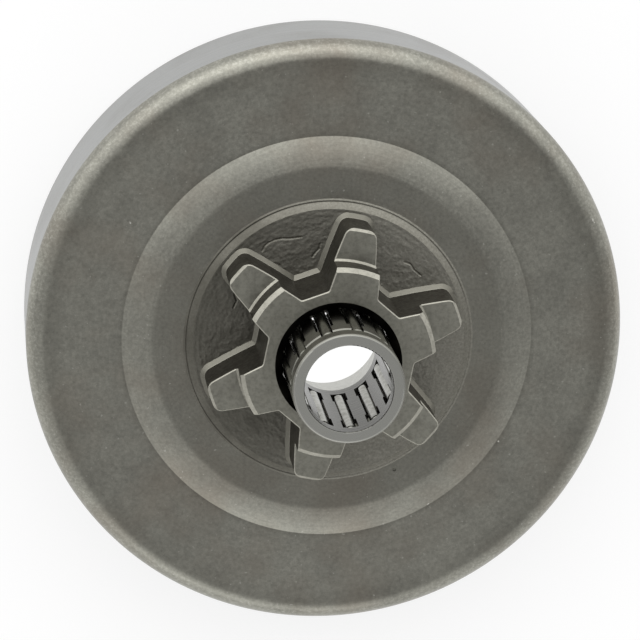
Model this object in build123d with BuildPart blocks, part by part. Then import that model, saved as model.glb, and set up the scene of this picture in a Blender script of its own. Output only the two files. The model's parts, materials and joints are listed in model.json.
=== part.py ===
import os
from math import cos, radians, sin, sqrt

from build123d import *

os.makedirs("parts", exist_ok=True)

# Drum shell
drum_radius = 36.0
drum_depth = 15.4
sheet = 2.2
corner_run = 2.4
corner_drop = 1.95
inner_corner = 2.2
rim_chamfer = 0.35
rise_height = 1.0
rise_radius = 24.7
rise_run = 3.6
rise_bow = 0.12
seat_depth = 0.35
seat_gap = 0.2

# Sprocket
tooth_count = 6
tooth_angle = 18.1
tip_radius = 15.45
tip_width = 3.5
tip_corner = 1.1
tip_bevel = 0.3
root_flat_radius = 8.7
root_flat = 3.35
root_corner = 0.4
flank_bow = 0.09
base_bevel = 0.6
flange_margin = 1.65
flange_rise = 0.6
flange_bevel = 0.8
hub_height = 10.05
shoulder_radius = 11.5
shoulder_drop = 3.75
shoulder_bevel = 0.5
shoulder_foot = 0.25
edge_bevel = 0.12
mouth_bevel = 0.9
spigot_radius = 10.5
lip_radius = 11.8
lip_height = 2.65
lip_bevel = 0.7
tail_bevel = 0.3

# Needle bearing
shaft_radius = 5.0
needle_count = 11
needle_angle = 111.2
needle_radius = 0.75
needle_length = 13.0
needle_corner = 0.3
cage_length = 17.2
cage_band = 1.9
cage_dip = 0.06
neck_length = 0.7
neck_depth = 0.26
cage_corner = 0.3
cage_edge = 0.12
bearing_proud = 10.35
lip_width = 1.44
relief_length = 2.9
inner_relief_width = 1.95
outer_relief_width = 2.15
inner_relief_depth = 0.96
outer_relief_depth = 0.85

# Clearances
needle_clearance = 0.02
pocket_clearance = 0.05
end_play = 0.25
cage_shaft_gap = 0.08
cage_bore_gap = 0.09

# Levels and radii that follow
wall_radius = drum_radius - sheet
face_level = drum_depth
track_level = face_level - sheet - inner_corner
rise_flat_radius = rise_radius - rise_run
centre_level = face_level + rise_height
web_level = centre_level - sheet
seat_level = centre_level - seat_depth
flange_radius = tip_radius + flange_margin
seat_radius = flange_radius + seat_gap
flange_level = centre_level + flange_rise
hub_level = flange_level + hub_height
shoulder_level = hub_level - shoulder_drop
lip_level = web_level - lip_height
pitch_radius = shaft_radius + needle_clearance + needle_radius
bore_radius = pitch_radius + needle_radius + needle_clearance
mouth_radius = bore_radius + mouth_bevel
cage_inner_radius = shaft_radius + cage_shaft_gap
cage_outer_radius = bore_radius - cage_bore_gap
bar_radius = cage_outer_radius - cage_dip
neck_radius = cage_outer_radius - neck_depth
neck_rise = neck_depth - cage_dip
inner_relief_radius = cage_inner_radius + inner_relief_depth
outer_relief_radius = cage_outer_radius - outer_relief_depth
pocket_length = needle_length + 2 * end_play
cage_top = hub_level + bearing_proud
cage_base = cage_top - cage_length
neck_base = cage_base + cage_band + neck_length
neck_top = cage_top - cage_band - neck_length
pocket_base = cage_base + (cage_length - pocket_length) / 2
needle_base = pocket_base + end_play

# Drum shell: one pressed cup with a raised centre and a shallow seat
with BuildPart() as drum_shell:
    with BuildSketch(Plane.XZ):
        with BuildLine():
            Polyline(
                (spigot_radius, web_level),
                (spigot_radius, seat_level),
                (flange_radius, seat_level),
                (seat_radius, centre_level),
                (rise_flat_radius, centre_level),
            )
            SagittaArc((rise_flat_radius, centre_level), (rise_radius, face_level), rise_bow)
            Line((rise_radius, face_level), (drum_radius - corner_run, face_level))
            TangentArc(
                (drum_radius - corner_run, face_level),
                (drum_radius, face_level - corner_drop),
                tangent=(1, 0),
            )
            Polyline(
                (drum_radius, face_level - corner_drop),
                (drum_radius, rim_chamfer),
                (drum_radius - rim_chamfer, 0),
                (wall_radius + rim_chamfer, 0),
                (wall_radius, rim_chamfer),
                (wall_radius, track_level),
            )
            TangentArc(
                (wall_radius, track_level),
                (wall_radius - inner_corner, face_level - sheet),
                tangent=(0, 1),
            )
            Line((wall_radius - inner_corner, face_level - sheet), (rise_radius, face_level - sheet))
            SagittaArc((rise_flat_radius, web_level), (rise_radius, face_level - sheet), rise_bow)
            Line((rise_flat_radius, web_level), (spigot_radius, web_level))
        make_face()
    revolve(axis=Axis.Z)
drum_shell.part.label = "drum_shell"
export_step(drum_shell.part, "parts/drum_shell.step")

# Tooth outline, drawn along the X axis and rounded at the tip
half_pitch = radians(180 / tooth_count)
root_half = root_flat_radius * sin(half_pitch) - root_flat / 2 * cos(half_pitch)
root_reach = root_flat_radius * cos(half_pitch) + root_flat / 2 * sin(half_pitch)
tip_reach = sqrt(tip_radius**2 - (tip_width / 2) ** 2)
with BuildSketch() as tooth:
    with BuildLine():
        SagittaArc((root_reach, -root_half), (tip_reach, -tip_width / 2), -flank_bow)
        ThreePointArc((tip_reach, -tip_width / 2), (tip_radius, 0), (tip_reach, tip_width / 2))
        SagittaArc((tip_reach, tip_width / 2), (root_reach, root_half), -flank_bow)
        Polyline((root_reach, root_half), (0, 0), (root_reach, -root_half))
    make_face()
    fillet(tooth.vertices().sort_by(Axis.X)[-2:], tip_corner)

# Star outline of the sprocket
with BuildSketch() as star:
    RegularPolygon(root_flat_radius, tooth_count, major_radius=False, rotation=tooth_angle)
    with PolarLocations(0, tooth_count, tooth_angle):
        add(tooth.sketch)

# Foot of the star, spread by the bevel and let into the flange
with BuildPart() as star_foot:
    with BuildSketch(Plane.XY.offset(centre_level)):
        add(star.sketch)
        offset(amount=base_bevel)
    extrude(amount=flange_rise + base_bevel)
    chamfer(star_foot.faces().sort_by(Axis.Z)[-1].edges(), base_bevel)

# Sprocket: flange, star, turned shoulder, spigot rolled over inside the drum, and bore
with BuildPart() as sprocket:
    with BuildSketch(Plane.XZ):
        with BuildLine():
            Polyline(
                (0, lip_level),
                (lip_radius - lip_bevel, lip_level),
                (lip_radius, lip_level + lip_bevel),
                (lip_radius, web_level),
                (spigot_radius, web_level),
                (spigot_radius, seat_level),
                (flange_radius, seat_level),
                (flange_radius, flange_level - flange_bevel),
                (flange_radius - flange_bevel, flange_level),
                (0, flange_level),
                close=True,
            )
        make_face()
    revolve(axis=Axis.Z)
    with BuildSketch(Plane.XY.offset(flange_level)) as outline:
        add(star.sketch)
        fillet(outline.vertices().sort_by_distance((0, 0, flange_level))[: 2 * tooth_count], root_corner)
    extrude(amount=hub_height - shoulder_drop)
    chamfer(sprocket.faces().sort_by(Axis.Z)[-1].edges(), edge_bevel)
    add(star_foot.part)
    with BuildSketch(Plane.XY.offset(shoulder_level - edge_bevel)):
        add(outline.sketch_local)
        Circle(shoulder_radius + shoulder_foot, mode=Mode.INTERSECT)
    extrude(amount=shoulder_drop + edge_bevel)
    with BuildSketch(Plane.XZ):
        with BuildLine():
            Polyline(
                (shoulder_radius - shoulder_bevel, hub_level),
                (shoulder_radius, hub_level - shoulder_bevel),
                (shoulder_radius, shoulder_level + shoulder_foot),
                (shoulder_radius + shoulder_foot, shoulder_level),
                (tip_radius - tip_bevel, shoulder_level),
                (tip_radius, shoulder_level - tip_bevel),
                (flange_radius, shoulder_level - tip_bevel),
                (flange_radius, hub_level),
                close=True,
            )
        make_face()
    revolve(axis=Axis.Z, mode=Mode.SUBTRACT)
    with BuildSketch(Plane.XZ):
        with BuildLine():
            Polyline(
                (0, lip_level),
                (bore_radius + tail_bevel, lip_level),
                (bore_radius, lip_level + tail_bevel),
                (bore_radius, hub_level - mouth_bevel),
                (mouth_radius, hub_level),
                (0, hub_level),
                close=True,
            )
        make_face()
    revolve(axis=Axis.Z, mode=Mode.SUBTRACT)
    top_edges = sprocket.faces().sort_by(Axis.Z)[-1].outer_wire().edges()
    chamfer(top_edges.sort_by_distance((0, 0, hub_level))[:-tooth_count], edge_bevel)
sprocket.part.label = "sprocket"
export_step(sprocket.part, "parts/sprocket.step")

# Needle cage: two end rings joined by bars, necked behind each ring, with a pocket for each needle
with BuildPart() as needle_cage:
    with BuildSketch(Plane.XZ):
        with BuildLine():
            Polyline(
                (cage_inner_radius, cage_base),
                (cage_outer_radius, cage_base),
                (cage_outer_radius, cage_base + cage_band),
                (neck_radius, cage_base + cage_band),
                (neck_radius, neck_base),
                (bar_radius, neck_base + neck_rise),
                (bar_radius, neck_top - neck_rise),
                (neck_radius, neck_top),
                (neck_radius, cage_top - cage_band),
                (cage_outer_radius, cage_top - cage_band),
                (cage_outer_radius, cage_top),
                (cage_inner_radius, cage_top),
                close=True,
            )
        make_face()
    revolve(axis=Axis.Z)
    rims = needle_cage.edges().filter_by(GeomType.CIRCLE).group_by(Axis.Z)
    fillet((rims[0] + rims[-1]).sort_by(SortBy.RADIUS)[:2], cage_edge)
    rims = needle_cage.edges().filter_by(GeomType.CIRCLE).group_by(Axis.Z)
    fillet((rims[0] + rims[-1]).sort_by(SortBy.RADIUS)[-2:], cage_corner)
    # bed for the needle and the narrow mouth that keeps it in
    with BuildSketch(Plane.XY.offset(pocket_base)):
        with PolarLocations(pitch_radius, needle_count, needle_angle):
            Circle(needle_radius + pocket_clearance)
        with PolarLocations((shaft_radius + bore_radius) / 2, needle_count, needle_angle):
            Rectangle(bore_radius - shaft_radius, lip_width)
    extrude(amount=pocket_length, mode=Mode.SUBTRACT)
    # inner mouth opened at both ends of the pocket
    with BuildSketch(
        Plane.XY.offset(pocket_base),
        Plane.XY.offset(pocket_base + pocket_length - relief_length),
    ):
        with PolarLocations((shaft_radius + inner_relief_radius) / 2, needle_count, needle_angle):
            Rectangle(inner_relief_radius - shaft_radius, inner_relief_width)
    extrude(amount=relief_length, mode=Mode.SUBTRACT)
    # outer mouth opened in the middle of the pocket
    with BuildSketch(Plane.XY.offset(pocket_base + relief_length)):
        with PolarLocations((outer_relief_radius + bore_radius) / 2, needle_count, needle_angle):
            Rectangle(bore_radius - outer_relief_radius, outer_relief_width)
    extrude(amount=pocket_length - 2 * relief_length, mode=Mode.SUBTRACT)
needle_cage.part.label = "needle_cage"
export_step(needle_cage.part, "parts/needle_cage.step")

# Needles: one roller with rounded ends in each pocket
for index in range(needle_count):
    angle = radians(needle_angle + index * 360 / needle_count)
    with BuildPart() as needle:
        with BuildSketch(Plane.XY.offset(needle_base)):
            with Locations((pitch_radius * cos(angle), pitch_radius * sin(angle))):
                Circle(needle_radius)
        extrude(amount=needle_length)
        fillet(needle.edges().filter_by(GeomType.CIRCLE), needle_corner)
    needle.part.label = f"needle_{index + 1:02d}"
    export_step(needle.part, f"parts/needle_{index + 1:02d}.step")
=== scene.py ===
import json
from math import atan2, cos, hypot, pi, radians, sin

import bpy
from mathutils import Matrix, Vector

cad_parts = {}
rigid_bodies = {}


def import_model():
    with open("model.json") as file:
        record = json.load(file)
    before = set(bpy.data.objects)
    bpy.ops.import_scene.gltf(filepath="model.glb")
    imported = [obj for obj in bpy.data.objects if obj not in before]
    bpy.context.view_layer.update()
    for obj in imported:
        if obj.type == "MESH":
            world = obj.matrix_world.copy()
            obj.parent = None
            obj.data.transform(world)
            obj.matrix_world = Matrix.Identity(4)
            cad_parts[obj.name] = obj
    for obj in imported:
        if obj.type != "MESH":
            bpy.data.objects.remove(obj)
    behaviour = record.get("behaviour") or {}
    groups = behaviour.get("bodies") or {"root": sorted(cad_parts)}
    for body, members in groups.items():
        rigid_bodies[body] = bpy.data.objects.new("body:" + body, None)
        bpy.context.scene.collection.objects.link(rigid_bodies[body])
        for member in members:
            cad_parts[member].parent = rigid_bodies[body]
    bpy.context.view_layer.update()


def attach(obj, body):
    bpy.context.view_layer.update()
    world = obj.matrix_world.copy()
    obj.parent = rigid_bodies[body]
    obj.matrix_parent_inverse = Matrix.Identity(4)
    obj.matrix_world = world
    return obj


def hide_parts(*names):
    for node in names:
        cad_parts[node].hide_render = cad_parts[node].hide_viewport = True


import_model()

# Drum shell: the cup that the clutch shoes rub inside, with a raised centre and a shallow seat
# for the sprocket. Mild steel sheet, pressed to a cup and skimmed on a lathe, then tumbled.
# It is turned here from one section, and knocked where the real one is.
mm = 0.001


def linear(hex_colour):
    channels = [int(hex_colour[i:i + 2], 16) / 255 for i in (1, 3, 5)]
    return [c / 12.92 if c < 0.04045 else ((c + 0.055) / 1.055) ** 2.4 for c in channels] + [1.0]


def add_node(tree, kind, settings={}, inputs={}):
    node = tree.nodes.new(kind)
    for name, value in settings.items():
        setattr(node, name, value)
    for name, value in inputs.items():
        if isinstance(value, bpy.types.NodeSocket):
            tree.links.new(value, node.inputs[name])
        else:
            node.inputs[name].default_value = value
    return node


def new_material(name):
    material = bpy.data.materials.new(name)
    material.use_nodes = True
    material.node_tree.nodes.clear()
    return material, material.node_tree


def set_ramp(ramp, *stops):
    # the ramp's two first stops are reused, and the rest are added
    stones = ramp.color_ramp.elements
    while len(stones) < len(stops):
        stones.new(1.0)
    for stone, (position, hex_colour) in zip(stones, stops):
        stone.position = position
        stone.color = linear(hex_colour)
    return ramp.outputs["Color"]


def wear(piece, material):
    piece.data.materials.clear()
    piece.data.materials.append(material)


def arc_points(start, end, slope, count):
    # points on the arc that leaves start at the slope angle and reaches end
    run, rise = end[0] - start[0], end[1] - start[1]
    chord = hypot(run, rise)
    turn = 2 * (atan2(rise, run) - slope)
    points = []
    for step in range(1, count + 1):
        part = turn * step / count
        reach = chord * sin(part / 2) / sin(turn / 2)
        points.append((start[0] + reach * cos(slope + part / 2), start[1] + reach * sin(slope + part / 2)))
    return points


def turned_piece(name, section, steps, crease):
    # a plane merged to one corner, drawn out along the section and spun about the drum's axis
    bpy.ops.object.select_all(action="DESELECT")
    bpy.ops.mesh.primitive_plane_add(size=mm)
    piece = bpy.context.active_object
    piece.name = name
    bpy.ops.object.mode_set(mode="EDIT")
    bpy.ops.mesh.select_all(action="SELECT")
    bpy.ops.mesh.merge(type="CENTER")
    bpy.ops.transform.translate(value=(section[0][0] * mm, 0, section[0][1] * mm))
    for here, there in zip(section, section[1:]):
        shift = ((there[0] - here[0]) * mm, 0, (there[1] - here[1]) * mm)
        bpy.ops.mesh.extrude_vertices_move(TRANSFORM_OT_translate={"value": shift})
    bpy.ops.mesh.select_all(action="SELECT")
    bpy.ops.mesh.spin(steps=steps, angle=2 * pi, center=(0, 0, 0), axis=(0, 0, 1))
    bpy.ops.mesh.select_all(action="SELECT")
    bpy.ops.mesh.remove_doubles(threshold=0.0001 * mm)
    bpy.ops.mesh.normals_make_consistent(inside=False)
    bpy.ops.object.mode_set(mode="OBJECT")
    bpy.ops.object.shade_smooth_by_angle(angle=radians(crease))
    return piece


# radii, and heights above the rim, in mm
wall_radius, inside_radius, hole_radius, seat_radius = 36.0, 33.8, 10.5, 17.1
slope_top, slope_foot, corner_start, inside_corner_start = 21.3, 24.7, 33.6, 31.6
centre_height, seat_height, web_height = 16.4, 16.05, 14.2
face_height, face_underside, corner_foot, inside_corner_foot = 15.4, 13.2, 13.45, 11.0
rim_bevel = 0.35
drum_section = [(hole_radius, web_height), (hole_radius, seat_height), (seat_radius, seat_height)]
drum_section += [(reach, centre_height) for reach in (seat_radius, 17.5, 18.0, 18.6, 19.3, 20.1, 20.9)]
drum_section += arc_points((20.9, centre_height), (slope_top, 16.365), 0, 4)
drum_section += arc_points((slope_top, 16.365), (slope_foot, face_height), radians(-9.5), 12)
drum_section += [(reach, face_height) for reach in (25.3, 26.5, 28.0, 29.5, 31.0, 32.4, corner_start)]
drum_section += arc_points((corner_start, face_height), (wall_radius, corner_foot), 0, 16)
drum_section += [(wall_radius, up) for up in (9.0, 5.0, 1.5, rim_bevel)]
drum_section += [(wall_radius - rim_bevel, 0.0), (inside_radius + rim_bevel, 0.0)]
drum_section += [(inside_radius, up) for up in (rim_bevel, 3.0, 6.0, 9.0, inside_corner_foot)]
drum_section += arc_points((inside_radius, inside_corner_foot), (inside_corner_start, face_underside),
                           radians(90), 10)
drum_section += [(29.0, face_underside), (slope_foot, face_underside)]
drum_section += arc_points((slope_foot, face_underside), (21.1, web_height), radians(157), 8)
drum_section += [(15.0, web_height), (hole_radius, web_height)]
drum_shell = turned_piece("turned_drum_shell", drum_section, steps=360, crease=10)
drum_shell.data.attributes.new("knocked", "FLOAT", "POINT")


def dent(piece, spot, along, length, width, depth, bare):
    # the faces round the spot are cut finer, and the points in a small oval are pushed in
    spot, along = Vector(spot) * mm, Vector(along).normalized()
    mesh = piece.data
    bpy.ops.object.select_all(action="DESELECT")
    piece.select_set(True)
    bpy.context.view_layer.objects.active = piece
    bpy.ops.object.mode_set(mode="EDIT")
    bpy.ops.mesh.select_mode(type="FACE")
    bpy.ops.mesh.select_all(action="DESELECT")
    bpy.ops.object.mode_set(mode="OBJECT")
    nearest = min(mesh.polygons, key=lambda face: (face.center - spot).length)
    inward = -nearest.normal.copy()
    for face in mesh.polygons:
        face.select = (face.center - spot).length < (length / 2 + 0.55) * mm
    nearest.select = True
    bpy.ops.object.mode_set(mode="EDIT")
    bpy.ops.mesh.subdivide(number_cuts=9)
    bpy.ops.mesh.select_mode(type="VERT")
    for reach in (1.0, 0.6):
        bpy.ops.mesh.select_all(action="DESELECT")
        bpy.ops.object.mode_set(mode="OBJECT")
        for point, knock in zip(mesh.vertices, mesh.attributes["knocked"].data):
            offset = point.co - spot
            if offset.length < length * mm:
                forth = offset.dot(along)
                aside = (offset - along * forth).length
                point.select = (forth / (length / 2 * mm)) ** 2 + (aside / (width / 2 * mm)) ** 2 < reach ** 2
                if point.select:
                    knock.value = bare
        bpy.ops.object.mode_set(mode="EDIT")
        bpy.ops.transform.translate(value=inward * (depth / 2 * mm))
    bpy.ops.object.mode_set(mode="OBJECT")


# a nick on the outer corner, a pit beside the sprocket, and small knocks on the slope and the face
dent(drum_shell, (32.06, 13.61, 15.07), along=(0.35, -0.85, -0.2),
     length=0.9, width=0.2, depth=0.07, bare=0.8)
dent(drum_shell, (7.97, -16.37, 16.4), along=(0.6, -0.8, 0),
     length=0.5, width=0.4, depth=0.22, bare=0.0)
for spot, size in (((12.3, -21.3, 15.42), 0.2), ((19.15, -11.6, 15.98), 0.2),
                   ((20.9, -13.6, 15.4), 0.15), ((-23.4, 14.8, 15.4), 0.15)):
    dent(drum_shell, spot, along=(1, 0.4, 0), length=size * 1.6, width=size, depth=0.04, bare=0.7)
bpy.ops.object.shade_smooth_by_angle(angle=radians(10))

# Tumbled mild steel: a dark satin with a fine grain, the last of the lathe's rings, brown stains
# of old oil, pale specks, and painted shade at the foot of the slope and where the face turns into
# the corner. The side wall is ground, so it is smoother and colder than the face.
drum_steel, tree = new_material("tumbled_mild_steel")
texture = add_node(tree, "ShaderNodeTexCoord")
place = texture.outputs["Object"]
facing = add_node(tree, "ShaderNodeSeparateXYZ", {}, {0: texture.outputs["Normal"]}).outputs["Z"]
across = add_node(tree, "ShaderNodeVectorMath", {"operation": "MULTIPLY"},
                  {0: place, 1: (1, 1, 0)}).outputs["Vector"]
radius = add_node(tree, "ShaderNodeVectorMath", {"operation": "LENGTH"}, {0: across}).outputs["Value"]
# lathe rings 0.3 mm apart, coarser than a fine cut so that they show
rings = add_node(tree, "ShaderNodeTexNoise", {"noise_dimensions": "1D"},
                 {"W": radius, "Scale": 1 / (0.3 * mm), "Detail": 2.0, "Roughness": 0.6}).outputs["Fac"]
mottle = add_node(tree, "ShaderNodeTexNoise", {},
                  {"Vector": place, "Scale": 1 / (0.4 * mm), "Detail": 5.0, "Roughness": 0.7}).outputs["Fac"]
clouds = add_node(tree, "ShaderNodeTexNoise", {},
                  {"Vector": place, "Scale": 1 / (4.5 * mm), "Detail": 3.0}).outputs["Fac"]
oil = add_node(tree, "ShaderNodeTexNoise", {},
               {"Vector": place, "Scale": 1 / (10 * mm), "Detail": 4.0}).outputs["Fac"]
knocks = add_node(tree, "ShaderNodeTexNoise", {},
                  {"Vector": place, "Scale": 1 / (0.5 * mm), "Detail": 1.0}).outputs["Fac"]
skin = set_ramp(add_node(tree, "ShaderNodeValToRGB", {}, {"Fac": mottle}),
                (0.28, "#83827A"), (0.72, "#A1A096"))
ringed = add_node(tree, "ShaderNodeMix", {"data_type": "RGBA", "blend_type": "OVERLAY"},
                  {"Factor": 0.06, "A": skin, "B": rings}).outputs["Result"]
clouded = add_node(tree, "ShaderNodeMix", {"data_type": "RGBA", "blend_type": "OVERLAY"},
                   {"Factor": 0.22, "A": ringed, "B": clouds}).outputs["Result"]
stain = add_node(tree, "ShaderNodeMapRange", {},
                 {"Value": oil, "From Min": 0.45, "From Max": 0.7,
                  "To Min": 0.0, "To Max": 0.4}).outputs["Result"]
oiled = add_node(tree, "ShaderNodeMix", {"data_type": "RGBA"},
                 {"Factor": stain, "A": clouded, "B": linear("#84796C")}).outputs["Result"]
in_centre = add_node(tree, "ShaderNodeMapRange", {},
                     {"Value": radius, "From Min": 20.8 * mm, "From Max": 21.4 * mm,
                      "To Min": 0.3, "To Max": 0.0}).outputs["Result"]
centred = add_node(tree, "ShaderNodeMix", {"data_type": "RGBA"},
                   {"Factor": in_centre, "A": oiled, "B": linear("#67655D")}).outputs["Result"]
# painted shade: a dark band in the crease at the foot of the slope, and another where the face turns into the
# corner
near_foot = add_node(tree, "ShaderNodeMapRange", {},
                     {"Value": radius, "From Min": 24.6 * mm, "From Max": 26.0 * mm}).outputs["Result"]
slope_foot_shade = set_ramp(add_node(tree, "ShaderNodeValToRGB", {}, {"Fac": near_foot}),
                 (0.0, "#000000"), (0.1, "#8A8A8A"), (0.4, "#303030"), (1.0, "#000000"))
near_edge = add_node(tree, "ShaderNodeMapRange", {},
                     {"Value": radius, "From Min": 31.4 * mm, "From Max": 34.2 * mm}).outputs["Result"]
corner_shade = set_ramp(add_node(tree, "ShaderNodeValToRGB", {}, {"Fac": near_edge}),
                (0.0, "#000000"), (0.6, "#7A7A7A"), (0.8, "#7A7A7A"), (1.0, "#000000"))
painted_shade = add_node(tree, "ShaderNodeMath", {"operation": "MAXIMUM"}, {0: slope_foot_shade, 1: corner_shade}).outputs["Value"]
face_shaded = add_node(tree, "ShaderNodeMix", {"data_type": "RGBA"},
                  {"Factor": painted_shade, "A": centred, "B": linear("#54524A")}).outputs["Result"]
bare = add_node(tree, "ShaderNodeMapRange", {},
                {"Value": knocks, "From Min": 0.73, "From Max": 0.8,
                 "To Min": 0.0, "To Max": 0.3}).outputs["Result"]
knocked = add_node(tree, "ShaderNodeAttribute", {"attribute_name": "knocked"}).outputs["Fac"]
on_corner = add_node(tree, "ShaderNodeMapRange", {},
                     {"Value": radius, "From Min": 34.0 * mm, "From Max": 35.2 * mm}).outputs["Result"]
scuffs = add_node(tree, "ShaderNodeMapRange", {},
                  {"Value": mottle, "From Min": 0.5, "From Max": 0.72,
                   "To Min": 0.0, "To Max": 0.2}).outputs["Result"]
scuffed = add_node(tree, "ShaderNodeMath", {"operation": "MULTIPLY"},
                   {0: on_corner, 1: scuffs}).outputs["Value"]
rubbed = add_node(tree, "ShaderNodeMath", {"operation": "MAXIMUM"}, {0: bare, 1: scuffed}).outputs["Value"]
bright = add_node(tree, "ShaderNodeMath", {"operation": "MAXIMUM"}, {0: rubbed, 1: knocked}).outputs["Value"]
specked = add_node(tree, "ShaderNodeMix", {"data_type": "RGBA"},
                   {"Factor": bright, "A": face_shaded, "B": linear("#DCDBD2")}).outputs["Result"]
# grinding lines 0.35 mm apart round the wall, coarser than real ones so that they show, with
# smears of oil and dark grains
height = add_node(tree, "ShaderNodeSeparateXYZ", {}, {0: place}).outputs["Z"]
lines = add_node(tree, "ShaderNodeTexNoise", {"noise_dimensions": "1D"},
                 {"W": height, "Scale": 1 / (0.35 * mm), "Detail": 3.0, "Roughness": 0.6}).outputs["Fac"]
ground = set_ramp(add_node(tree, "ShaderNodeValToRGB", {}, {"Fac": lines}),
                  (0.3, "#888987"), (0.7, "#A2A3A2"))
smears = add_node(tree, "ShaderNodeMapRange", {},
                  {"Value": oil, "From Min": 0.5, "From Max": 0.72,
                   "To Min": 0.0, "To Max": 0.45}).outputs["Result"]
smeared = add_node(tree, "ShaderNodeMix", {"data_type": "RGBA"},
                   {"Factor": smears, "A": ground, "B": linear("#6E6B64")}).outputs["Result"]
grains = add_node(tree, "ShaderNodeMapRange", {},
                  {"Value": mottle, "From Min": 0.3, "From Max": 0.5,
                   "To Min": 0.35, "To Max": 0.0}).outputs["Result"]
wall = add_node(tree, "ShaderNodeMix", {"data_type": "RGBA"},
                {"Factor": grains, "A": smeared, "B": linear("#77776F")}).outputs["Result"]
tilt = add_node(tree, "ShaderNodeMath", {"operation": "ABSOLUTE"}, {0: facing}).outputs["Value"]
upright = add_node(tree, "ShaderNodeMapRange", {},
                   {"Value": tilt, "From Min": 0.05, "From Max": 0.15,
                    "To Min": 1.0, "To Max": 0.0}).outputs["Result"]
colour = add_node(tree, "ShaderNodeMix", {"data_type": "RGBA"},
                  {"Factor": upright, "A": specked, "B": wall}).outputs["Result"]
gloss = add_node(tree, "ShaderNodeMapRange", {},
                 {"Value": mottle, "From Min": 0.25, "From Max": 0.75,
                  "To Min": 0.28, "To Max": 0.38}).outputs["Result"]
ring_bump = add_node(tree, "ShaderNodeBump", {},
                     {"Strength": 0.15, "Distance": 0.02 * mm, "Height": rings}).outputs["Normal"]
line_bump = add_node(tree, "ShaderNodeBump", {},
                     {"Strength": 0.25, "Distance": 0.02 * mm,
                      "Height": lines, "Normal": ring_bump}).outputs["Normal"]
bump = add_node(tree, "ShaderNodeBump", {},
                {"Strength": 0.3, "Distance": 0.03 * mm,
                 "Height": mottle, "Normal": line_bump}).outputs["Normal"]
shine = add_node(tree, "ShaderNodeBsdfPrincipled", {},
                 {"Metallic": 1.0, "Base Color": colour, "Roughness": gloss, "Normal": bump})
add_node(tree, "ShaderNodeOutputMaterial", {}, {"Surface": shine.outputs["BSDF"]})
wear(drum_shell, drum_steel)
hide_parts("drum_shell")
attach(drum_shell, "drum")

# Sprocket: the flange, the six-tooth star and the stepped hub in one piece, pressed and sintered
# from steel powder, fixed in the drum by its spigot. The top faces and the bevels are machined
# and the rest is as it came from the die.

# Sintered steel: a grainy grey with dull patches, pale where a tool has cut it, with painted highlight
# on the bevels and painted shade on the walls, which also carry the die's brown-black oxide.
sprocket_steel, tree = new_material("sintered_steel")
texture = add_node(tree, "ShaderNodeTexCoord")
place = texture.outputs["Object"]
facing = add_node(tree, "ShaderNodeSeparateXYZ", {}, {0: texture.outputs["Normal"]}).outputs["Z"]
across = add_node(tree, "ShaderNodeVectorMath", {"operation": "MULTIPLY"},
                  {0: place, 1: (1, 1, 0)}).outputs["Vector"]
radius = add_node(tree, "ShaderNodeVectorMath", {"operation": "LENGTH"}, {0: across}).outputs["Value"]
height = add_node(tree, "ShaderNodeSeparateXYZ", {}, {0: place}).outputs["Z"]
grain = add_node(tree, "ShaderNodeTexNoise", {},
                 {"Vector": place, "Scale": 1 / (0.5 * mm), "Detail": 8.0, "Roughness": 0.65}).outputs["Fac"]
patches = add_node(tree, "ShaderNodeTexNoise", {},
                   {"Vector": place, "Scale": 1 / (3.0 * mm), "Detail": 4.0}).outputs["Fac"]
# colour by slope: walls dark, partly the die's oxide and partly painted shade; bevels bright, partly burnish
# and partly painted highlight; tops ground
slope_light_and_oxide = set_ramp(add_node(tree, "ShaderNodeValToRGB", {}, {"Fac": facing}),
                    (0.05, "#403C36"), (0.45, "#B2B0A5"), (0.85, "#B2B0A5"), (0.97, "#97968C"))
# the flange's bevel and the one at the foot of the teeth keep the die's grey
climb = add_node(tree, "ShaderNodeMapRange", {},
                 {"Value": height, "From Min": 15.9 * mm, "From Max": 17.9 * mm}).outputs["Result"]
foot = set_ramp(add_node(tree, "ShaderNodeValToRGB", {}, {"Fac": climb}),
                (0.0, "#F0F0F0"), (0.82, "#F0F0F0"), (0.87, "#000000"))
footed = add_node(tree, "ShaderNodeMix", {"data_type": "RGBA"},
                  {"Factor": foot, "A": slope_light_and_oxide, "B": linear("#78766D")}).outputs["Result"]
dusted = add_node(tree, "ShaderNodeMapRange", {},
                  {"Value": patches, "From Min": 0.35, "From Max": 0.7,
                   "To Min": 0.0, "To Max": 0.35}).outputs["Result"]
patched = add_node(tree, "ShaderNodeMix", {"data_type": "RGBA"},
                   {"Factor": dusted, "A": footed, "B": linear("#76746B")}).outputs["Result"]
worn = add_node(tree, "ShaderNodeMapRange", {},
                {"Value": grain, "From Min": 0.36, "From Max": 0.56,
                 "To Min": 0.4, "To Max": 0.0}).outputs["Result"]
dulled = add_node(tree, "ShaderNodeMix", {"data_type": "RGBA"},
                  {"Factor": worn, "A": patched, "B": linear("#6A6860")}).outputs["Result"]
low = add_node(tree, "ShaderNodeMapRange", {},
               {"Value": height, "From Min": 17.02 * mm, "From Max": 17.1 * mm,
                "To Min": 1.0, "To Max": 0.0}).outputs["Result"]
level = add_node(tree, "ShaderNodeMapRange", {},
                 {"Value": facing, "From Min": 0.9, "From Max": 0.97}).outputs["Result"]
as_cast = add_node(tree, "ShaderNodeMath", {"operation": "MULTIPLY"}, {0: low, 1: level}).outputs["Value"]
floored = add_node(tree, "ShaderNodeMix", {"data_type": "RGBA"},
                   {"Factor": as_cast, "A": dulled, "B": linear("#7E7C73")}).outputs["Result"]
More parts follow.
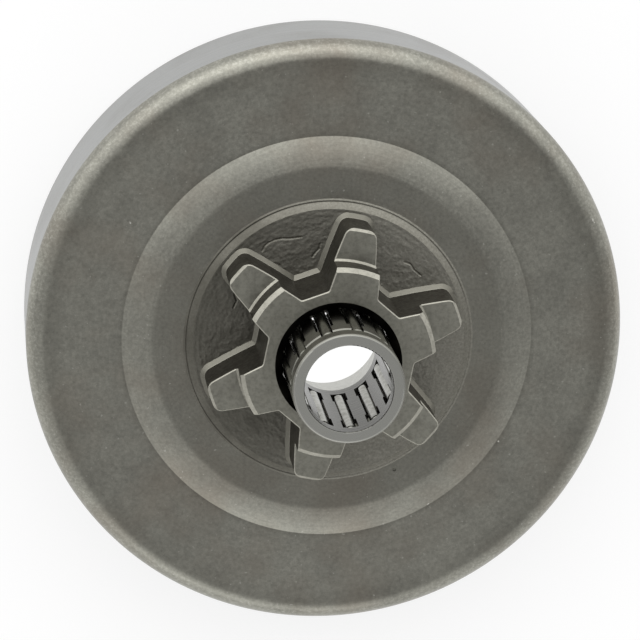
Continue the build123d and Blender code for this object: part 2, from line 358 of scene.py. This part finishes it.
# the mouth round the bearing is painted black, a painted shade for the deep gap, and the bore below it, past
# the cage, is painted pale, a painted highlight for the white light seen through it
in_mouth = add_node(tree, "ShaderNodeMapRange", {},
                    {"Value": radius, "From Min": 7.4 * mm, "From Max": 7.46 * mm,
                     "To Min": 1.0, "To Max": 0.0}).outputs["Result"]
mouth_shaded = add_node(tree, "ShaderNodeMix", {"data_type": "RGBA"},
                   {"Factor": in_mouth, "A": floored, "B": linear("#2B2926")}).outputs["Result"]
in_bore = add_node(tree, "ShaderNodeMapRange", {},
                   {"Value": height, "From Min": 20.0 * mm, "From Max": 21.0 * mm,
                    "To Min": 1.0, "To Max": 0.0}).outputs["Result"]
bore_light = add_node(tree, "ShaderNodeMath", {"operation": "MULTIPLY"},
                 {0: in_mouth, 1: in_bore}).outputs["Value"]
colour = add_node(tree, "ShaderNodeMix", {"data_type": "RGBA"},
                  {"Factor": bore_light, "A": mouth_shaded, "B": linear("#C6C6C1")}).outputs["Result"]
gloss = add_node(tree, "ShaderNodeMapRange", {},
                 {"Value": grain, "From Min": 0.3, "From Max": 0.7,
                  "To Min": 0.36, "To Max": 0.5}).outputs["Result"]
bump = add_node(tree, "ShaderNodeBump", {},
                {"Strength": 0.5, "Distance": 0.04 * mm, "Height": grain}).outputs["Normal"]
shine = add_node(tree, "ShaderNodeBsdfPrincipled", {},
                 {"Metallic": 1.0, "Base Color": colour, "Roughness": gloss, "Normal": bump})
add_node(tree, "ShaderNodeOutputMaterial", {}, {"Surface": shine.outputs["BSDF"]})
wear(bpy.data.objects["sprocket"], sprocket_steel)

# Flange skin: the rough top and edge of the sprocket's flange, as they came from the die. The same
# sintered steel, left unmachined, with shallow dents, veins and cracks. It is spun as a thin
# fine-meshed disc, just proud of the flange, that runs out softly on the drum's face.
skin_start, skin_level, skin_underside = 9.0, 17.09, 16.95
ripple_start, ripple_gain, ripple_pitch = 14.2, 0.004, 0.7
flange_edge = 16.27
flange_section = [(skin_start, skin_underside)]
for step in range(103):
    reach = skin_start + 0.07 * step
    ripple = max(reach - ripple_start, 0) * ripple_gain * sin(2 * pi * reach / ripple_pitch)
    flange_section.append((reach, skin_level + ripple))
flange_section += [(flange_edge, skin_level)]
flange_section += arc_points((flange_edge, skin_level), (16.98, 16.47), radians(-46), 9)
# a thin ridge round the foot of the edge, where the press squeezed the seam
flange_section += [(17.03, 16.45), (17.09, 16.46), (17.14, 16.49), (17.2, 16.495)]
flange_section += [(17.26, 16.46), (17.36, 16.41), (17.45, 16.385)]
flange_section += [(17.3, 16.2), (skin_start, skin_underside)]
flange_skin = turned_piece("sintered_flange_skin", flange_section, steps=760, crease=40)
rough_top = flange_skin.vertex_groups.new(name="rough_top")
for point in flange_skin.data.vertices:
    rough_top.add([point.index], 1.0 if point.co.xy.length < 16.2 * mm else 0.2, "REPLACE")
for name, kind, grain_size, depth in (("die_grain", "CLOUDS", 0.32, 0.06),
                                      ("die_veins", "MUSGRAVE", 1.2, 0.02),
                                      ("die_dents", "CLOUDS", 1.4, 0.09)):
    texture = bpy.data.textures.new(name, kind)
    texture.noise_scale = grain_size * mm
    if kind == "MUSGRAVE":
        texture.musgrave_type = "RIDGED_MULTIFRACTAL"
        texture.octaves = 3
    else:
        texture.noise_depth = 4
    grain_dent = flange_skin.modifiers.new(name, "DISPLACE")
    grain_dent.texture = texture
    grain_dent.texture_coords = "LOCAL"
    grain_dent.vertex_group = "rough_top"
    grain_dent.direction = "Z"
    grain_dent.mid_level = 0.5
    grain_dent.strength = depth * mm
    bpy.ops.object.modifier_apply(modifier=name)
# curved cracks left by the die, each a line of points pressed down
crack_half_width, crack_depth, longest_run, flange_top = 0.1, 0.08, 2, 17
cracks = (((-7.95, 11.4), (-7.7, 11.95), (-7.3, 12.3), (-6.6, 12.66), (-5.8, 12.82), (-4.65, 12.8),
           (-3.3, 12.95)),
          ((-2.0, 10.55), (-1.6, 11.1), (-1.2, 11.5), (-1.1, 12.1)),
          ((9.0, 9.6), (9.7, 9.3), (10.1, 8.6), (10.9, 7.9)),
          ((-11.4, 4.6), (-11.0, 5.4), (-11.3, 6.2)))
bpy.ops.object.mode_set(mode="EDIT")
bpy.ops.mesh.select_mode(type="VERT")
bpy.ops.mesh.select_all(action="DESELECT")
bpy.ops.object.mode_set(mode="OBJECT")
for crack in cracks:
    for here, there in zip(crack, crack[1:]):
        start, run = Vector(here) * mm, (Vector(there) - Vector(here)) * mm
        for point in flange_skin.data.vertices:
            offset = point.co.xy - start
            if offset.length < longest_run * mm and point.co.z > flange_top * mm:
                share = min(max(offset.dot(run) / run.dot(run), 0), 1)
                if (offset - run * share).length < crack_half_width * mm:
                    point.select = True
bpy.ops.object.mode_set(mode="EDIT")
bpy.ops.transform.translate(value=(0, 0, -crack_depth * mm))
bpy.ops.object.mode_set(mode="OBJECT")

# Rough sintered steel: the same powder unmachined, duller and darker, with a fine broken grain.
rough_steel, tree = new_material("rough_sintered_steel")
place = add_node(tree, "ShaderNodeTexCoord").outputs["Object"]
grain = add_node(tree, "ShaderNodeTexNoise", {},
                 {"Vector": place, "Scale": 1 / (0.3 * mm), "Detail": 8.0, "Roughness": 0.7}).outputs["Fac"]
powder = set_ramp(add_node(tree, "ShaderNodeValToRGB", {}, {"Fac": grain}),
                  (0.3, "#77756C"), (0.7, "#98968D"))
# old oil has run to one side of the flange and darkened it in patches
patches = add_node(tree, "ShaderNodeTexNoise", {},
                   {"Vector": place, "Scale": 1 / (5 * mm), "Detail": 3.0}).outputs["Fac"]
leftward = add_node(tree, "ShaderNodeSeparateXYZ", {}, {0: place}).outputs["X"]
one_side = add_node(tree, "ShaderNodeMapRange", {},
                    {"Value": leftward, "From Min": -9 * mm, "From Max": 6 * mm,
                     "To Min": 1.2, "To Max": 0.0}).outputs["Result"]
oiled = add_node(tree, "ShaderNodeMath", {"operation": "MULTIPLY", "use_clamp": True},
                 {0: one_side, 1: patches}).outputs["Value"]
colour = add_node(tree, "ShaderNodeMix", {"data_type": "RGBA"},
                  {"Factor": oiled, "A": powder, "B": linear("#55534C")}).outputs["Result"]
bump = add_node(tree, "ShaderNodeBump", {},
                {"Strength": 0.4, "Distance": 0.04 * mm, "Height": grain}).outputs["Normal"]
shine = add_node(tree, "ShaderNodeBsdfPrincipled", {},
                 {"Metallic": 1.0, "Base Color": colour, "Roughness": 0.48, "Normal": bump})
add_node(tree, "ShaderNodeOutputMaterial", {}, {"Surface": shine.outputs["BSDF"]})
wear(flange_skin, rough_steel)
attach(flange_skin, "drum")

# Needle cage: two end rings joined by bars, with a pocket for each needle. Turned and milled from
# one steel tube, so the rings and bars carry fine lines round the axis.

# Turned cage steel: a smooth cold grey, pale on the faced end, with painted shade on the inside,
# and near-black painted shade on the outside of the bars where they stand in the hub.
cage_steel, tree = new_material("turned_cage_steel")
texture = add_node(tree, "ShaderNodeTexCoord")
place = texture.outputs["Object"]
facing = add_node(tree, "ShaderNodeSeparateXYZ", {}, {0: texture.outputs["Normal"]}).outputs["Z"]
height = add_node(tree, "ShaderNodeSeparateXYZ", {}, {0: place}).outputs["Z"]
across = add_node(tree, "ShaderNodeVectorMath", {"operation": "MULTIPLY"},
                  {0: place, 1: (1, 1, 0)}).outputs["Vector"]
spoke = add_node(tree, "ShaderNodeVectorMath", {"operation": "NORMALIZE"}, {0: across}).outputs["Vector"]
outward = add_node(tree, "ShaderNodeVectorMath", {"operation": "DOT_PRODUCT"},
                   {0: spoke, 1: texture.outputs["Normal"]}).outputs["Value"]
# turned lines 0.3 mm apart, coarser than the real ones so that they show
lines = add_node(tree, "ShaderNodeTexNoise", {"noise_dimensions": "1D"},
                 {"W": height, "Scale": 1 / (0.3 * mm), "Detail": 2.0}).outputs["Fac"]
# the inside walls get a darker copy of the outside's ramp: painted shade inside the cage
shaded_inner = set_ramp(add_node(tree, "ShaderNodeValToRGB", {}, {"Fac": lines}), (0.3, "#32312D"), (0.7, "#5A5953"))
outer = set_ramp(add_node(tree, "ShaderNodeValToRGB", {}, {"Fac": lines}), (0.3, "#77766F"), (0.7, "#8F8E87"))
side = add_node(tree, "ShaderNodeMapRange", {},
                {"Value": outward, "From Min": -0.3, "From Max": 0.1}).outputs["Result"]
walls = add_node(tree, "ShaderNodeMix", {"data_type": "RGBA"},
                 {"Factor": side, "A": shaded_inner, "B": outer}).outputs["Result"]
# the end rings' flat faces are bare, and their rounded edges are dulled by handling
level = add_node(tree, "ShaderNodeMapRange", {},
                 {"Value": facing, "From Min": 0.8, "From Max": 0.98}).outputs["Result"]
high = add_node(tree, "ShaderNodeMapRange", {},
                {"Value": height, "From Min": 36.9 * mm, "From Max": 37.2 * mm}).outputs["Result"]
on_end = add_node(tree, "ShaderNodeMath", {"operation": "MULTIPLY"}, {0: level, 1: high}).outputs["Value"]
faced = add_node(tree, "ShaderNodeMix", {"data_type": "RGBA"},
                 {"Factor": on_end, "A": walls, "B": linear("#B4B4AE")}).outputs["Result"]
# painted shade, near black, on the outside of the bars where they stand in the hub's mouth and reflect its
# dark gap
deep = add_node(tree, "ShaderNodeMapRange", {},
                {"Value": height, "From Min": 30.6 * mm, "From Max": 31.4 * mm,
                 "To Min": 1.0, "To Max": 0.0}).outputs["Result"]
outside = add_node(tree, "ShaderNodeMapRange", {},
                   {"Value": outward, "From Min": 0.9, "From Max": 0.97}).outputs["Result"]
bar_mouth_shade = add_node(tree, "ShaderNodeMath", {"operation": "MULTIPLY"}, {0: deep, 1: outside}).outputs["Value"]
colour = add_node(tree, "ShaderNodeMix", {"data_type": "RGBA"},
                  {"Factor": bar_mouth_shade, "A": faced, "B": linear("#24221F")}).outputs["Result"]
bump = add_node(tree, "ShaderNodeBump", {},
                {"Strength": 0.25, "Distance": 0.02 * mm, "Height": lines}).outputs["Normal"]
shine = add_node(tree, "ShaderNodeBsdfPrincipled", {},
                 {"Metallic": 1.0, "Base Color": colour, "Roughness": 0.26, "Normal": bump})
add_node(tree, "ShaderNodeOutputMaterial", {}, {"Surface": shine.outputs["BSDF"]})
wear(bpy.data.objects["needle_cage"], cage_steel)

# Needles: eleven loose rollers of hardened bearing steel, ground round. Each one rolls in a pocket
# of the cage, which keeps it from falling out.

# Ground bearing steel: brighter and glossier than the rest, with a thin uneven film of oil.
needle_steel, tree = new_material("ground_bearing_steel")
place = add_node(tree, "ShaderNodeTexCoord").outputs["Object"]
film = add_node(tree, "ShaderNodeTexNoise", {},
                {"Vector": place, "Scale": 1 / (0.8 * mm), "Detail": 6.0}).outputs["Fac"]
colour = set_ramp(add_node(tree, "ShaderNodeValToRGB", {}, {"Fac": film}),
                  (0.35, "#727168"), (0.65, "#96968F"))
shine = add_node(tree, "ShaderNodeBsdfPrincipled", {},
                 {"Metallic": 1.0, "Base Color": colour, "Roughness": 0.2})
add_node(tree, "ShaderNodeOutputMaterial", {}, {"Surface": shine.outputs["BSDF"]})
needle_count = 11
for number in range(1, needle_count + 1):
    wear(bpy.data.objects["needle_%02d" % number], needle_steel)

# Floor: a plain white table that glows a little and takes a soft shadow round the drum, with a
# small lit pad under the bore, so that it is white there too. It is clear from below, so that the
# drum's inside can be seen.
bpy.ops.object.select_all(action="DESELECT")
bpy.ops.mesh.primitive_plane_add(size=4.0, location=(0, 0, -0.05 * mm))
floor = bpy.context.active_object
floor.name = "floor"
floor_white, tree = new_material("white_table")
across = add_node(tree, "ShaderNodeVectorMath", {"operation": "MULTIPLY"},
                  {0: add_node(tree, "ShaderNodeTexCoord").outputs["Object"], 1: (1, 1, 0)}).outputs["Vector"]
radius = add_node(tree, "ShaderNodeVectorMath", {"operation": "LENGTH"}, {0: across}).outputs["Value"]
lit_pad = add_node(tree, "ShaderNodeMapRange", {},
                   {"Value": radius, "From Min": 14 * mm, "From Max": 18 * mm,
                    "To Min": 1.0, "To Max": 0.72}).outputs["Result"]
glow = add_node(tree, "ShaderNodeEmission", {}, {"Color": linear("#FFFFFF"), "Strength": lit_pad})
paint = add_node(tree, "ShaderNodeBsdfDiffuse", {}, {"Color": linear("#979797")})
both = add_node(tree, "ShaderNodeAddShader", {}, {0: glow.outputs[0], 1: paint.outputs[0]})
below = add_node(tree, "ShaderNodeNewGeometry").outputs["Backfacing"]
clear = add_node(tree, "ShaderNodeBsdfTransparent")
table = add_node(tree, "ShaderNodeMixShader", {}, {0: below, 1: both.outputs[0], 2: clear.outputs[0]})
add_node(tree, "ShaderNodeOutputMaterial", {}, {"Surface": table.outputs[0]})
wear(floor, floor_white)

# Room: a bright wall behind the drum, a dimmer one in front, and grey overhead and at the sides,
# so that the bevels read bright and the flat faces dark.
world = bpy.data.worlds.new("studio_room")
bpy.context.scene.world = world
world.use_nodes = True
tree = world.node_tree
tree.nodes.clear()
direction = add_node(tree, "ShaderNodeTexCoord").outputs["Generated"]
parts = add_node(tree, "ShaderNodeSeparateXYZ", {}, {0: direction})
forth = add_node(tree, "ShaderNodeMapRange", {},
                 {"Value": parts.outputs["Y"], "From Min": -1.0, "From Max": 1.0}).outputs["Result"]
aside = add_node(tree, "ShaderNodeMapRange", {},
                 {"Value": parts.outputs["X"], "From Min": -1.0, "From Max": 1.0}).outputs["Result"]
walls = set_ramp(add_node(tree, "ShaderNodeValToRGB", {}, {"Fac": forth}),
                 (0.0, "#BCBCBC"), (0.1, "#BCBCBC"), (0.22, "#A3A3A3"), (0.36, "#808080"), (0.5, "#7C7C7C"),
                 (0.56, "#8C8C8C"), (0.67, "#D2D2D2"), (0.85, "#E8E8E8"), (1.0, "#FFFFFF"))
sides = set_ramp(add_node(tree, "ShaderNodeValToRGB", {}, {"Fac": aside}),
                 (0.0, "#737373"), (0.2, "#5C5C5C"), (0.35, "#444444"), (0.5, "#333333"), (0.6, "#000000"),
                 (0.75, "#000000"), (0.95, "#606060"))
room = add_node(tree, "ShaderNodeMix", {"data_type": "RGBA", "blend_type": "ADD"},
                {"Factor": 1.0, "A": walls, "B": sides}).outputs["Result"]
sky = add_node(tree, "ShaderNodeBackground", {}, {"Color": room, "Strength": 1.75})
add_node(tree, "ShaderNodeOutputWorld", {}, {"Surface": sky.outputs[0]})


# Softboxes: one behind the drum and one in front, both low, so that the bevels catch them and
# the flat faces don't.
def softbox(name, place, size, power):
    lamp_data = bpy.data.lights.new(name, "AREA")
    lamp_data.shape = "RECTANGLE"
    lamp_data.size, lamp_data.size_y = size
    lamp_data.energy = power
    lamp = bpy.data.objects.new(name, lamp_data)
    bpy.context.collection.objects.link(lamp)
    lamp.location = place
    lamp.rotation_euler = (Vector((0, 0, 15 * mm)) - Vector(place)).to_track_quat("-Z", "Y").to_euler()


softbox("back_softbox", (-0.1, 0.6, 0.4), (0.6, 0.3), 0.4)
softbox("front_softbox", (-0.1, -0.7, 0.35), (0.6, 0.3), 0.3)

# Camera: above the sprocket and a little to its upper left, as the photograph was taken, with a
# long lens.
camera_data = bpy.data.cameras.new("camera")
camera_data.sensor_width = 36
camera_data.lens = 170.05
camera_data.clip_end = 10
camera = bpy.data.objects.new("camera", camera_data)
bpy.context.collection.objects.link(camera)
camera.location = (-0.0388, 0.0951, 0.3628)
camera.rotation_euler = (radians(-14.87), radians(-6.22), 0)
bpy.context.scene.camera = camera
bpy.context.scene.view_settings.view_transform = "Standard"
